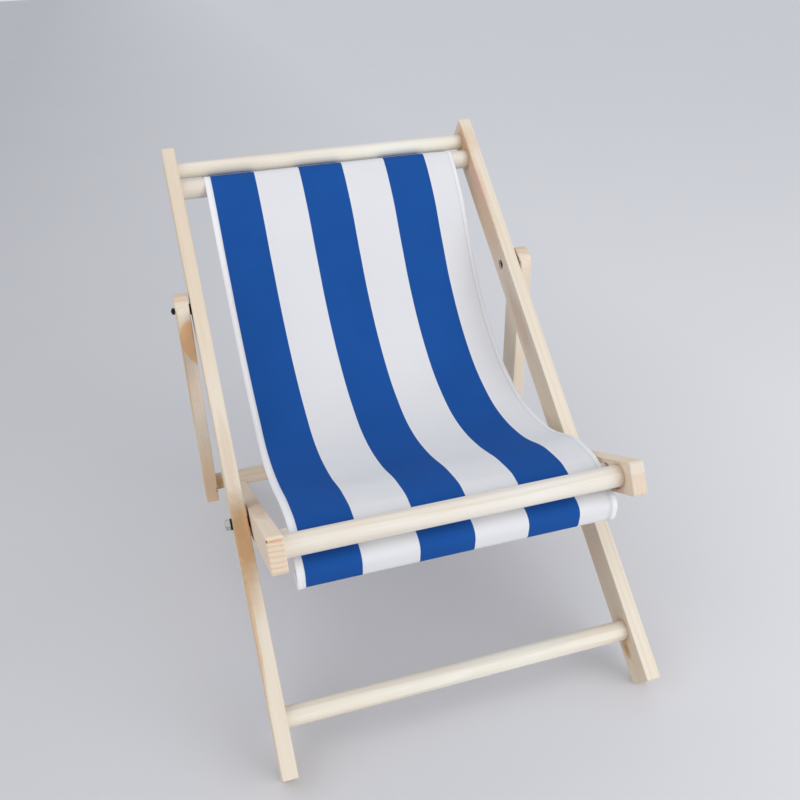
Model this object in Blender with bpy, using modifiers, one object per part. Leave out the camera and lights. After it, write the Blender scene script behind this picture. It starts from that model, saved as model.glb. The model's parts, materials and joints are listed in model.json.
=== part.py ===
"""Small folding deck chair: two crossed wooden frames, a rear prop frame and a canvas sling.

Metres, +Z up, +X to the sitter's left, the sitter faces -Y. The origin is on the floor, under the
middle of the chair. Every frame has an empty whose local Y runs along its rails and whose local Z
runs across them, so rails, dowels and cutters are all placed in (along, across) coordinates.
"""
from math import asin, atan2, cos, degrees, hypot, pi, radians, sin

import bmesh
import bpy
from mathutils import Matrix

MM = 0.001
TOUCH_GAP = 0.3 * MM            # between pieces that touch
SIDES = (("left", 1), ("right", -1))
FRONT = -1                      # local Y of the seat frame runs rearward

# Stock and overall layout
RAIL_WIDTH = 36 * MM
RAIL_THICK = 15 * MM
RAIL_SPACE = 2.2 * MM           # a washer and two touch gaps between neighbouring rails
BACK_INNER_X = 177 * MM         # inner face of the back rails
BACK_LENGTH = 700 * MM
BACK_SLOPE = radians(39.24)     # back rails above the floor
SEAT_SLOPE = radians(25.97)     # seat rails rise this much towards the front
PROP_LEAN = radians(2.84)       # prop rails lean this much rearward going down
EDGE_EASE = 1.0 * MM
SEAT_EDGE_EASE = 1.2 * MM

# Along the back rails, from the foot's rear edge
SEAT_PIVOT_AT = 247.4 * MM
PROP_PIVOT_AT = 496.4 * MM
STRETCHER_AT = 54.1 * MM
CLOTH_BAR_AT = 652.5 * MM
TOP_DOWEL_AT = 679.5 * MM

# Along the seat rails, from the seat pivot
SEAT_FRONT = 177.2 * MM
FRONT_BAR_AT = 154.2 * MM
SEAT_CLOTH_BAR_AT = 124.0 * MM
SEAT_TOP = 14.5 * MM            # above the seat pivot: the seat rails are narrower stock
SEAT_BOTTOM = -18.0 * MM
SEAT_TOP_ROUND = 4.0 * MM
SEAT_BOTTOM_ROUND = 3.0 * MM

# Along the prop rails, from the prop pivot
PROP_END = 254.7 * MM
CROSSBAR_AT = 238.0 * MM

# Folding: the prop swings over while the seat frame closes into the back frame
SEAT_FOLD = BACK_SLOPE + SEAT_SLOPE
PROP_FOLD = pi / 2 - PROP_LEAN + BACK_SLOPE

# Round stock, radii
STRETCHER_R = 10.0 * MM
TOP_DOWEL_R = 9.0 * MM
CLOTH_BAR_R = 11.0 * MM
FRONT_BAR_R = 10.5 * MM
SEAT_CLOTH_BAR_R = 9.5 * MM
CROSSBAR_R = 10.0 * MM
STICK_R = 9.9 * MM
STICK_LENGTH = 300 * MM
SOCKET_DEPTH = 9.0 * MM
ROUND_SIDES = 40

# Notches for the crossbar, in the rear half of the seat rails' top edge
SECOND_CATCH = radians(5.88)    # folding angle at which the crossbar meets the second notch
THIRD_CATCH = radians(15.36)
NOTCH_FLOOR = 6.7 * MM          # above the seat rail's centreline

# Hardware, radii and thicknesses
BIG_BOLT_R = 3.0 * MM
SMALL_BOLT_R = 2.0 * MM
RUNNING_GAP = 0.1 * MM
WASHER_THICK = RAIL_SPACE - 2 * TOUCH_GAP
WASHER_R = 6.0 * MM
BIG_NUT_R = 5.77 * MM           # across corners, half
BIG_NUT_THICK = 4.6 * MM
SMALL_NUT_R = 4.04 * MM
SMALL_NUT_THICK = 3.2 * MM
BOLT_TAIL = 0.8 * MM            # beyond the nut
BOLT_CHAMFER = 0.5 * MM
BIG_HEAD_R = 6.0 * MM
BIG_HEAD_THICK = 3.4 * MM
SMALL_HEAD_R = 4.0 * MM
SMALL_HEAD_THICK = 3.2 * MM
BIG_HEAD_DOME = ((0.0, 0.55), (0.3, 0.85), (0.7, 1.0))    # share of thickness, share of radius
SMALL_HEAD_DOME = ((0.0, 0.7), (0.2, 1.0))
COUNTERBORE_R = 6.0 * MM
COUNTERBORE_DEPTH = 4.6 * MM

# Sling
CLOTH_WIDTH = 306 * MM
CLOTH_THICK = 2.4 * MM
SLEEVE_SLACK = 0.4 * MM         # between a sleeve and its stick
TOP_SLEEVE_R = STICK_R + SLEEVE_SLACK + CLOTH_THICK
FRONT_SLEEVE_R = 14.5 * MM
FRONT_SLEEVE_AT = (45.7 * MM, 201.5 * MM)
CLOTH_BREAK = 262.5 * MM        # the two panels meet here
CLOTH_BREAK_GAP = 1.6 * MM
CLOTH_RISES_AT = 12.9 * MM      # across the back rails, where it comes up between the top bars
OVER_CLOTH_BAR = (0, 98)        # degrees that it wraps the cloth bar, in the back rails' frame
OVER_SEAT_BAR = (85, 172)       # and the seat's cloth bar, where 0 is rearward and 90 up
# Middle of the cloth in side view, (forward-to-back, height) from the back rails' foot edge
SLING_SAG = [(470.5, 421.0), (446.0, 391.0), (425.0, 351.5), (400.0, 307.5), (362.0, 263.5),
             (314.0, 229.0), (264.0, 212.0), (215.0, 208.6), (165.0, 216.0), (122.0, 228.4),
             (92.0, 235.0)]
SLING_DROP = [(57.4, 220.5), (56.6, 213.1)]     # down between the front bars

# Looks: colour, roughness, metallic
WOOD = ((0.83, 0.71, 0.53), 0.55, 0.0)
DOWEL_WOOD = ((0.86, 0.75, 0.58), 0.5, 0.0)
STEEL = ((0.62, 0.62, 0.60), 0.3, 1.0)
DARK_STEEL = ((0.10, 0.09, 0.08), 0.45, 1.0)
CANVAS = ((0.70, 0.72, 0.76), 0.85, 0.0)

BACK_MID = RAIL_WIDTH / 2
FOOT_Y = (RAIL_WIDTH * sin(BACK_SLOPE) - BACK_LENGTH * cos(BACK_SLOPE)) / 2
SEAT_OUTER_X = BACK_INNER_X - RAIL_SPACE
SEAT_INNER_X = SEAT_OUTER_X - RAIL_THICK
BACK_OUTER_X = BACK_INNER_X + RAIL_THICK
PROP_INNER_X = BACK_OUTER_X + RAIL_SPACE
PROP_OUTER_X = PROP_INNER_X + RAIL_THICK


def back_point(along, across=BACK_MID):
    """(y, z) of a point given along the back rails and across them, from the rear edge."""
    return (FOOT_Y + along * cos(BACK_SLOPE) - across * sin(BACK_SLOPE),
            along * sin(BACK_SLOPE) + across * cos(BACK_SLOPE))


SEAT_PIVOT = back_point(SEAT_PIVOT_AT)
PROP_PIVOT = back_point(PROP_PIVOT_AT)
# The seat rail's rear bottom corner stands on the floor.
SEAT_REAR = (SEAT_PIVOT[1] + SEAT_BOTTOM * cos(SEAT_SLOPE)) / sin(SEAT_SLOPE)


def seat_point(along, across=0.0):
    """(y, z) of a point given rearward of the seat pivot along the seat rails, and above them."""
    return (SEAT_PIVOT[0] + along * cos(SEAT_SLOPE) + across * sin(SEAT_SLOPE),
            SEAT_PIVOT[1] - along * sin(SEAT_SLOPE) + across * cos(SEAT_SLOPE))


def crossbar_on_seat(fold):
    """Where the crossbar's centre lies along the seat rails when the seat has turned by fold."""
    swing = -pi / 2 + PROP_LEAN + fold * PROP_FOLD / SEAT_FOLD
    y = PROP_PIVOT[0] + CROSSBAR_AT * cos(swing) - SEAT_PIVOT[0]
    z = PROP_PIVOT[1] + CROSSBAR_AT * sin(swing) - SEAT_PIVOT[1]
    return hypot(y, z) * cos(atan2(z, y) + SEAT_SLOPE - fold)


def remove_everything():
    for item in list(bpy.data.objects):
        bpy.data.objects.remove(item, do_unlink=True)


def new_collection(name):
    collection = bpy.data.collections.new(name)
    bpy.context.scene.collection.children.link(collection)
    return collection


def new_frame(name, y, z, slope):
    """An empty on a frame's joint axis, with local Y along its rails."""
    empty = bpy.data.objects.new(name, None)
    empty.location = (0, y, z)
    empty.rotation_euler = (slope, 0, 0)
    PARTS.objects.link(empty)
    return empty


def finish(item, look):
    """Give a part its own material and smooth shading on its round faces."""
    colour, roughness, metallic = look
    material = bpy.data.materials.new(item.name)
    material.use_nodes = True
    shader = material.node_tree.nodes["Principled BSDF"]
    shader.inputs["Base Color"].default_value = (*colour, 1)
    shader.inputs["Roughness"].default_value = roughness
    shader.inputs["Metallic"].default_value = metallic
    item.data.materials.clear()
    item.data.materials.append(material)
    item.data.shade_smooth()
    item.data.set_sharp_from_angle(angle=radians(30))
    return item


def adopt(item, collection, parent):
    """Move a fresh object into a collection and under a frame's empty."""
    for holder in list(item.users_collection):
        holder.objects.unlink(item)
    collection.objects.link(item)
    item.parent = parent
    return item


def bar(name, frame, along, across, x_low, x_high, radius, sides=ROUND_SIDES, collection=None):
    """A round or many-sided bar along X, placed in a frame's (along, across) coordinates."""
    bpy.ops.mesh.primitive_cylinder_add(
        vertices=sides, radius=radius, depth=x_high - x_low,
        location=((x_low + x_high) / 2, along, across), rotation=(0, pi / 2, 0))
    item = adopt(bpy.context.object, collection or PARTS, frame)
    item.name = name
    return item


def cutter(name, frame, along, across, x_low, x_high, radius, sides=ROUND_SIDES):
    item = bar(name, frame, along, across, x_low, x_high, radius, sides, CUTTERS)
    item.hide_render = True
    item.display_type = "WIRE"
    return item


def both_sides_cutter(name, frame, along, across, reach, radius, sides=ROUND_SIDES):
    return cutter(name, frame, along, across, -reach, reach, radius, sides)


def cut(item, tool):
    modifier = item.modifiers.new("cut " + tool.name, "BOOLEAN")
    modifier.operation = "DIFFERENCE"
    modifier.object = tool


def ease_edges(item, width, angle=50):
    modifier = item.modifiers.new("eased edges", "BEVEL")
    modifier.width = width
    modifier.segments = 2
    modifier.limit_method = "ANGLE"
    modifier.angle_limit = radians(angle)


def arc(centre, radius, start, end, steps):
    """Points on an arc, in degrees, both ends included."""
    turns = [radians(start + (end - start) * i / steps) for i in range(steps + 1)]
    return [(centre[0] + radius * cos(t), centre[1] + radius * sin(t)) for t in turns]


def outline_plate(name, frame, outline, x_middle):
    """A flat board of rail thickness cut to an outline in (along, across) coordinates."""
    curve = bpy.data.curves.new(name, "CURVE")
    curve.dimensions = "2D"
    curve.fill_mode = "BOTH"
    curve.extrude = RAIL_THICK / 2
    spline = curve.splines.new("POLY")
    spline.points.add(len(outline) - 1)
    for point, (along, across) in zip(spline.points, outline):
        point.co = (along, across, 0, 1)
    spline.use_cyclic_u = True
    drawn = bpy.data.objects.new(name + " outline", curve)
    PARTS.objects.link(drawn)
    bpy.context.view_layer.update()
    seen = drawn.evaluated_get(bpy.context.evaluated_depsgraph_get())
    mesh = bpy.data.meshes.new_from_object(seen)
    bpy.data.objects.remove(drawn, do_unlink=True)
    shape = bmesh.new()
    shape.from_mesh(mesh)
    bmesh.ops.remove_doubles(shape, verts=shape.verts, dist=0.01 * MM)
    bmesh.ops.dissolve_limit(shape, angle_limit=radians(1), verts=shape.verts, edges=shape.edges)
    shape.to_mesh(mesh)
    shape.free()
    mesh.name = name
    item = bpy.data.objects.new(name, mesh)
    item.location = (x_middle, 0, 0)
    item.rotation_euler = (pi / 2, 0, pi / 2)
    PARTS.objects.link(item)
    item.parent = frame
    return item


def back_rails():
    """Two long rails: sockets inside for three bars, a hole for each pivot, a sunk bolt head."""
    reach = BACK_INNER_X + SOCKET_DEPTH
    through = BACK_OUTER_X + RAIL_SPACE
    tools = [both_sides_cutter("socket " + name, BACK, at, BACK_MID, reach, radius + TOUCH_GAP)
             for name, at, radius in (("stretcher", STRETCHER_AT, STRETCHER_R),
                                      ("cloth bar", CLOTH_BAR_AT, CLOTH_BAR_R),
                                      ("top dowel", TOP_DOWEL_AT, TOP_DOWEL_R))]
    tools.append(both_sides_cutter("seat bolt hole", BACK, SEAT_PIVOT_AT, BACK_MID, through,
                                   BIG_BOLT_R + TOUCH_GAP))
    tools.append(both_sides_cutter("prop bolt hole", BACK, PROP_PIVOT_AT, BACK_MID, through,
                                   SMALL_BOLT_R + TOUCH_GAP))
    tools.append(both_sides_cutter("counterbore", BACK, PROP_PIVOT_AT, BACK_MID,
                                   BACK_INNER_X + COUNTERBORE_DEPTH, COUNTERBORE_R))
    for side, sign in SIDES:
        bpy.ops.mesh.primitive_cube_add(size=1)
        rail = adopt(bpy.context.object, PARTS, BACK)
        rail.name = "back_rail_" + side
        rail.location = (sign * (BACK_INNER_X + RAIL_THICK / 2), BACK_LENGTH / 2, BACK_MID)
        rail.data.transform(Matrix.Diagonal((RAIL_THICK, BACK_LENGTH, RAIL_WIDTH, 1)))
        ease_edges(rail, EDGE_EASE)
        for tool in tools:
            cut(rail, tool)
        finish(rail, WOOD)


def notch(rear_wall, play):
    """Outline of one crossbar notch, from its rear lip to its front lip."""
    radius = CROSSBAR_R + TOUCH_GAP
    centre = NOTCH_FLOOR + radius
    lip = degrees(asin((SEAT_TOP - centre) / radius))
    rear = arc((rear_wall, centre), radius, lip, -90, 8)
    front = arc((rear_wall - play, centre), radius, -90, -180 - lip, 8)
    return rear + front


def seat_rails():
    """Two shorter rails inside the back rails, notched behind and rounded in front."""
    first = crossbar_on_seat(0)
    pitch = (crossbar_on_seat(THIRD_CATCH) - first) / 2
    play = first + pitch - crossbar_on_seat(SECOND_CATCH)
    front = FRONT * SEAT_FRONT
    rear = [(SEAT_REAR, SEAT_BOTTOM)] + arc((SEAT_REAR - SEAT_TOP, 0), SEAT_TOP, 0, 90, 10)
    notches = [point for number in (2, 1, 0) for point in notch(first + number * pitch, play)]
    top = arc((front + SEAT_TOP_ROUND, SEAT_TOP - SEAT_TOP_ROUND), SEAT_TOP_ROUND, 90, 180, 5)
    bottom = arc((front + SEAT_BOTTOM_ROUND, SEAT_BOTTOM + SEAT_BOTTOM_ROUND), SEAT_BOTTOM_ROUND,
                 180, 270, 4)
    reach = SEAT_INNER_X + SOCKET_DEPTH
    tools = [both_sides_cutter("socket front bar", SEAT, FRONT * FRONT_BAR_AT, 0, reach,
                               FRONT_BAR_R + TOUCH_GAP),
             both_sides_cutter("socket seat cloth bar", SEAT, FRONT * SEAT_CLOTH_BAR_AT, 0, reach,
                               SEAT_CLOTH_BAR_R + TOUCH_GAP),
             both_sides_cutter("seat rail bolt hole", SEAT, 0, 0, BACK_INNER_X,
                               BIG_BOLT_R + RUNNING_GAP)]
    for side, sign in SIDES:
        rail = outline_plate("seat_rail_" + side, SEAT, rear + notches + top + bottom,
                             sign * (SEAT_INNER_X + RAIL_THICK / 2))
        ease_edges(rail, SEAT_EDGE_EASE)
        for tool in tools:
            cut(rail, tool)
        finish(rail, WOOD)


def prop_rails():
    """Two outer rails with round heads on the prop pivot."""
    half = RAIL_WIDTH / 2
    outline = arc((0, 0), half, 90, 270, 24) + [(PROP_END, -half), (PROP_END, half)]
    tools = [both_sides_cutter("socket crossbar", PROP, CROSSBAR_AT, 0,
                               PROP_INNER_X + SOCKET_DEPTH, CROSSBAR_R + TOUCH_GAP),
             both_sides_cutter("prop rail bolt hole", PROP, 0, 0, PROP_OUTER_X + RAIL_SPACE,
                               SMALL_BOLT_R + RUNNING_GAP)]
    for side, sign in SIDES:
        rail = outline_plate("prop_rail_" + side, PROP, outline,
                             sign * (PROP_INNER_X + RAIL_THICK / 2))
        ease_edges(rail, EDGE_EASE)
        for tool in tools:
            cut(rail, tool)
        finish(rail, WOOD)


def dowels():
    """Six bars between pairs of rails, each end glued into a blind socket."""
    seat_front = FRONT * FRONT_BAR_AT
    seat_cloth = FRONT * SEAT_CLOTH_BAR_AT
    table = (("lower_stretcher", BACK, STRETCHER_AT, BACK_MID, BACK_INNER_X, STRETCHER_R),
             ("top_cloth_bar", BACK, CLOTH_BAR_AT, BACK_MID, BACK_INNER_X, CLOTH_BAR_R),
             ("top_dowel", BACK, TOP_DOWEL_AT, BACK_MID, BACK_INNER_X, TOP_DOWEL_R),
             ("front_bar", SEAT, seat_front, 0, SEAT_INNER_X, FRONT_BAR_R),
             ("seat_cloth_bar", SEAT, seat_cloth, 0, SEAT_INNER_X, SEAT_CLOTH_BAR_R),
             ("prop_crossbar", PROP, CROSSBAR_AT, 0, PROP_INNER_X, CROSSBAR_R))
    for name, frame, along, across, inner_x, radius in table:
        reach = inner_x + SOCKET_DEPTH - TOUCH_GAP
        finish(bar(name, frame, along, across, -reach, reach, radius), DOWEL_WOOD)


def turned(name, frame, along, sign, profile, sides=32):
    """A turned piece on a pivot axis, from a profile of (distance along X, radius) points."""
    mesh = bpy.data.meshes.new(name)
    shape = bmesh.new()
    points = [shape.verts.new((radius, 0, -distance)) for distance, radius in profile]
    for start, end in zip(points, points[1:]):
        shape.edges.new((start, end))
    shape.to_mesh(mesh)
    shape.free()
    item = bpy.data.objects.new(name, mesh)
    item.location = (0, along, BACK_MID)
    item.rotation_euler = (0, -sign * pi / 2, 0)
    PARTS.objects.link(item)
    item.parent = frame
    spin = item.modifiers.new("turned", "SCREW")
    spin.steps = sides
    spin.render_steps = sides
    spin.use_merge_vertices = True
    spin.merge_threshold = 0.01 * MM
    return item


def ring(name, frame, along, sign, x_low, x_high, outer, inner, sides=32):
    """A flat ring or nut around a bolt, as a bar with a hole cut through it."""
    low, high = sorted((sign * x_low, sign * x_high))
    item = bar(name, frame, along, BACK_MID, low, high, outer, sides)
    cut(item, cutter("hole " + name, frame, along, BACK_MID, low - MM, high + MM, inner, 32))
    return item


def bolt_profile(top, head, tail, head_r, shank_r, dome):
    """Half outline of a bolt, from the middle of its domed head to its chamfered tail."""
    crown = [(top + share * (head - top), width * head_r) for share, width in dome]
    shank = [(head, head_r), (head, shank_r), (tail - BOLT_CHAMFER, shank_r),
             (tail, shank_r - BOLT_CHAMFER), (tail, 0)]
    return [(top, 0)] + crown + shank


def seat_pivot_hardware():
    """A bolt through seat rail, spacer and back rail, with a washer and a nut outside."""
    washer = BACK_OUTER_X + TOUCH_GAP
    nut = washer + WASHER_THICK + TOUCH_GAP
    tail = nut + BIG_NUT_THICK + BOLT_TAIL
    head = SEAT_INNER_X - TOUCH_GAP
    top = head - BIG_HEAD_THICK
    bore = BIG_BOLT_R + TOUCH_GAP
    profile = bolt_profile(top, head, tail, BIG_HEAD_R, BIG_BOLT_R, BIG_HEAD_DOME)
    for side, sign in SIDES:
        finish(turned("seat_pivot_bolt_" + side, BACK, SEAT_PIVOT_AT, sign, profile), STEEL)
        spacer = ring("seat_pivot_spacer_" + side, BACK, SEAT_PIVOT_AT, sign,
                      SEAT_OUTER_X + TOUCH_GAP, BACK_INNER_X - TOUCH_GAP, WASHER_R, bore)
        finish(spacer, DARK_STEEL)
        outer = ring("seat_pivot_washer_" + side, BACK, SEAT_PIVOT_AT, sign, washer,
                     washer + WASHER_THICK, WASHER_R, bore)
        finish(outer, DARK_STEEL)
        hexagon = ring("seat_pivot_nut_" + side, BACK, SEAT_PIVOT_AT, sign, nut,
                       nut + BIG_NUT_THICK, BIG_NUT_R, bore, 6)
        finish(hexagon, STEEL)


def prop_pivot_hardware():
    """A bolt whose head is sunk in the back rail, through spacer and prop rail, with a nut."""
    head = BACK_INNER_X + COUNTERBORE_DEPTH - TOUCH_GAP
    top = head - SMALL_HEAD_THICK
    nut = PROP_OUTER_X + TOUCH_GAP
    tail = nut + SMALL_NUT_THICK + BOLT_TAIL
    bore = SMALL_BOLT_R + TOUCH_GAP
    profile = bolt_profile(top, head, tail, SMALL_HEAD_R, SMALL_BOLT_R, SMALL_HEAD_DOME)
    for side, sign in SIDES:
        bolt = turned("prop_pivot_bolt_" + side, BACK, PROP_PIVOT_AT, sign, profile)
        finish(bolt, DARK_STEEL)
        spacer = ring("prop_pivot_spacer_" + side, BACK, PROP_PIVOT_AT, sign,
                      BACK_OUTER_X + TOUCH_GAP, PROP_INNER_X - TOUCH_GAP, WASHER_R, bore)
        finish(spacer, DARK_STEEL)
        hexagon = ring("prop_pivot_nut_" + side, BACK, PROP_PIVOT_AT, sign, nut,
                       nut + SMALL_NUT_THICK, SMALL_NUT_R, bore, 6)
        finish(hexagon, DARK_STEEL)


def smooth_path(points, steps=4):
    """A Catmull-Rom curve through points, in steps for each stretch."""
    padded = [points[0]] + points + [points[-1]]
    path = []
    for p0, p1, p2, p3 in zip(padded, padded[1:], padded[2:], padded[3:]):
        for i in range(steps):
            t = i / steps
            weights = (-t ** 3 + 2 * t ** 2 - t, 3 * t ** 3 - 5 * t ** 2 + 2,
                       -3 * t ** 3 + 4 * t ** 2 + t, t ** 3 - t ** 2)
            path.append(tuple(sum(w * p[axis] for w, p in zip(weights, (p0, p1, p2, p3))) / 2
                              for axis in (0, 1)))
    return path + [points[-1]]


def part_path(path, y):
    """Cut a path that runs towards -Y into the stretch behind a given y and the one before it."""
    cut_at = next(i for i, point in enumerate(path) if point[0] < y)
    (y0, z0), (y1, z1) = path[cut_at - 1], path[cut_at]
    end = (y, z0 + (z1 - z0) * (y - y0) / (y1 - y0))
    return path[:cut_at] + [end], [end] + path[cut_at:]


def strip(name, path):
    """A strip of cloth the full width of the sling, along a path of (y, z) points."""
    mesh = bpy.data.meshes.new(name)
    shape = bmesh.new()
    points = [shape.verts.new((-CLOTH_WIDTH / 2, y, z)) for y, z in path]
    edges = [shape.edges.new(pair) for pair in zip(points, points[1:])]
    grown = bmesh.ops.extrude_edge_only(shape, edges=edges)["geom"]
    moved = [part for part in grown if isinstance(part, bmesh.types.BMVert)]
    bmesh.ops.translate(shape, verts=moved, vec=(CLOTH_WIDTH, 0, 0))
    shape.to_mesh(mesh)
    shape.free()
    item = bpy.data.objects.new(name, mesh)
    PARTS.objects.link(item)
    thicken = item.modifiers.new("cloth thickness", "SOLIDIFY")
    thicken.thickness = CLOTH_THICK
    thicken.offset = 0
    thicken.use_even_offset = True
    return item


def sling_panels():
    """The sling in two panels that meet over the seat pivot, one on each frame."""
    middle = CLOTH_THICK / 2 + TOUCH_GAP
    over_bar = arc((CLOTH_BAR_AT, BACK_MID), CLOTH_BAR_R + middle, *OVER_CLOTH_BAR, 9)
    rise = (CLOTH_BAR_AT + CLOTH_BAR_R + middle, CLOTH_RISES_AT)
    top = [back_point(*rise)] + [back_point(*point) for point in over_bar]
    sag = [(FOOT_Y + y * MM, z * MM) for y, z in SLING_SAG]
    bar_y, bar_z = seat_point(FRONT * SEAT_CLOTH_BAR_AT)
    over_seat_bar = arc((bar_y, bar_z), SEAT_CLOTH_BAR_R + middle, *OVER_SEAT_BAR, 9)
    drop = [(FOOT_Y + y * MM, z * MM) for y, z in SLING_DROP]
    run = smooth_path([top[-1]] + sag + [over_seat_bar[0]])
    break_y = FOOT_Y + CLOTH_BREAK
    back = part_path(run, break_y + CLOTH_BREAK_GAP / 2)[0]
    seat = part_path(run, break_y - CLOTH_BREAK_GAP / 2)[1]
    finish(strip("sling_back_panel", top[:-1] + back), CANVAS)
    finish(strip("sling_seat_panel", seat[:-1] + over_seat_bar + drop), CANVAS)


def sleeve(name, y, z, radius, stick_drop):
    """A hem sleeve as a tube, with the loose stick that it holds."""
    half = CLOTH_WIDTH / 2
    tube = bar("sling_" + name, None, y, z, -half, half, radius, 32)
    cut(tube, cutter("bore " + name, None, y, z, -half - MM, half + MM, radius - CLOTH_THICK, 32))
    finish(tube, CANVAS)
    stick = bar(name + "_stick", None, y, z - stick_drop, -STICK_LENGTH / 2, STICK_LENGTH / 2,
                STICK_R, 32)
    finish(stick, DOWEL_WOOD)


def sleeves():
    """The top sleeve lies behind its two bars, touching both; the front one hangs below."""
    reach_cloth = CLOTH_BAR_R + TOUCH_GAP + TOP_SLEEVE_R
    reach_dowel = TOP_DOWEL_R + TOUCH_GAP + TOP_SLEEVE_R
    apart = TOP_DOWEL_AT - CLOTH_BAR_AT
    along = (reach_cloth ** 2 - reach_dowel ** 2 + apart ** 2) / (2 * apart)
    behind = (reach_cloth ** 2 - along ** 2) ** 0.5
    y, z = back_point(CLOTH_BAR_AT + along, BACK_MID - behind)
    sleeve("top_sleeve", y, z, TOP_SLEEVE_R, 0)
    loose = FRONT_SLEEVE_R - CLOTH_THICK - SLEEVE_SLACK - STICK_R
    sleeve("front_sleeve", FOOT_Y + FRONT_SLEEVE_AT[0], FRONT_SLEEVE_AT[1], FRONT_SLEEVE_R, loose)


remove_everything()
PARTS = new_collection("folding deck chair")
CUTTERS = new_collection("cutters")
BACK = new_frame("back frame axis", FOOT_Y, 0, BACK_SLOPE)
SEAT = new_frame("seat pivot axis", SEAT_PIVOT[0], SEAT_PIVOT[1], -SEAT_SLOPE)
PROP = new_frame("prop pivot axis", PROP_PIVOT[0], PROP_PIVOT[1], PROP_LEAN - pi / 2)
back_rails()
seat_rails()
prop_rails()
dowels()
seat_pivot_hardware()
prop_pivot_hardware()
sling_panels()
sleeves()
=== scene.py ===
import json
from math import cos, degrees, hypot, pi, radians, sin

import bmesh
import bpy
from mathutils import Matrix, Vector, noise


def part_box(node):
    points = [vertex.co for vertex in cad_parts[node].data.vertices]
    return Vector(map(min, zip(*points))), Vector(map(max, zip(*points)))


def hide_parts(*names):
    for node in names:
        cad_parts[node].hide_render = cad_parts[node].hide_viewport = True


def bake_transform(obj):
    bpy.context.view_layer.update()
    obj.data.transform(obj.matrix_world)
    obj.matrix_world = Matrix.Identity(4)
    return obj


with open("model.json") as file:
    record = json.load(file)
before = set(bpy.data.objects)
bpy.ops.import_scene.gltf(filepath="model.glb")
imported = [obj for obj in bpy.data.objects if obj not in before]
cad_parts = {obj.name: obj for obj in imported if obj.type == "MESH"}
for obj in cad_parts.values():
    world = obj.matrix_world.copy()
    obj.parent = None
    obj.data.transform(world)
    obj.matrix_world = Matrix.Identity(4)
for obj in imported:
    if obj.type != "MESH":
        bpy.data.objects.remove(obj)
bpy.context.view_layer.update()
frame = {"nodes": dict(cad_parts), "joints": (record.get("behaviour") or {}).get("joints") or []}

MM = 0.001
JOINTS = {joint["name"]: joint for joint in frame["joints"]}

# Slopes of the three frames' rails, and the foot of the back rails' rear edge, which places in
# side view are measured from
BACK_SLOPE = radians(39.24)
SEAT_SLOPE = radians(-25.97)
PROP_SLOPE = radians(2.84 - 90)  # the prop rails lean 2.84 degrees from upright
RAIL_WIDTH = 36 * MM
SEAT_PIVOT_AT = 247.4 * MM
PIVOT = Vector(JOINTS["seat_fold"]["pos_m"])
FOOT_Y = PIVOT.y - SEAT_PIVOT_AT * cos(BACK_SLOPE) + RAIL_WIDTH / 2 * sin(BACK_SLOPE)

# The canvas: stripes across its width, from the -X edge, hems and thickness
CLOTH_WIDTH = 306 * MM
CLOTH_THICK = 1.1 * MM
HEM_WIDTH = 7.0 * MM
HEM_THICK = 2.0 * MM
LAY_GAP = 0.25 * MM             # between the canvas and what it lies on
STRIPE_EDGES = [7.4, 58.8, 112.2, 164.9, 217.7, 269.4]    # mm; blue starts at the first
# X of the -X edge, in mm, at shares of the sling's length: it hangs a little askew and sways
EDGE_SWAY = [(0.0, -149.5), (0.20, -150.1), (0.32, -148.6), (0.42, -147.8), (0.52, -148.0),
             (0.62, -149.6), (0.85, -150.5), (0.94, -152.0), (1.0, -152.0)]
FLARE = 2.5 * MM                # how much wider the +X margin is round the front stick
FLARE_FROM = 0.86               # the share of the length where it starts to widen
LIFT = 5.0 * MM                 # the +X margin stands up a little behind the front bars
LIFT_AT = 0.765                 # the share of the length where it stands highest
LIFT_REACH = 0.085              # and how far along it fades out
LIFT_FROM = 230 * MM            # across the canvas
LIFT_POWER = 1.5
RIPPLE = 1.1 * MM               # broad and fine unevenness where the canvas hangs free
FINE_RIPPLE = 0.25 * MM
FREE_FROM_TOP = 130 * MM        # the canvas hangs free from here along it
FREE_FROM_FRONT = 165 * MM      # to here, from its front end
FREE_FADE = 40 * MM

# The sling's path in side view: (along, across) the back rails, then (y, z) from the foot, in mm,
# then the angles in degrees where it lies on a bar or a stick
TOP_SLEEVE_END = [(667.4, 14.6), (668.6, 12.2)]
NECK = (664.9, 12.6)
SAG = [(470.5, 421.0), (446.0, 391.0), (425.0, 351.5), (400.0, 307.5), (362.0, 263.5),
       (314.0, 229.0), (264.0, 212.0), (215.0, 208.6), (165.0, 216.0), (122.0, 229.0),
       (103.0, 233.2), (89.0, 235.6), (78.0, 236.6)]
DROP = [(57.7, 219.0), (56.7, 209.5)]
SLEEVE_TOP = [(33.6, 207.5), (35.2, 213.4), (40.0, 217.6), (46.5, 219.5), (52.2, 220.0),
              (55.4, 222.4), (56.6, 228.0)]
AROUND_TOP_STICK = (58, -236)   # from the back rails' direction
OVER_CLOTH_BAR = (0, 98)        # the same
OVER_SEAT_BAR = (98, 172)
AROUND_FRONT_STICK = (2, -176)
PATH_STEP = 2.6 * MM

# Cross-section of the canvas and its stitches
CLOTH_COLUMNS = 66
HEM_CLEAR = 4 * MM              # the even columns start this far inside the hems
STITCH_PITCH = 3.6 * MM         # from one stitch to the next
STITCH_IN = 5.4 * MM            # the hem's stitches, in from the edge
STITCH_LENGTH = 2.7 * MM
THREAD_R = 0.28 * MM
THREAD_SIDES = 6
NO_STITCH_WAY = Vector((0.3, 0.5, 0.8))    # a direction that no stitch runs in
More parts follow.
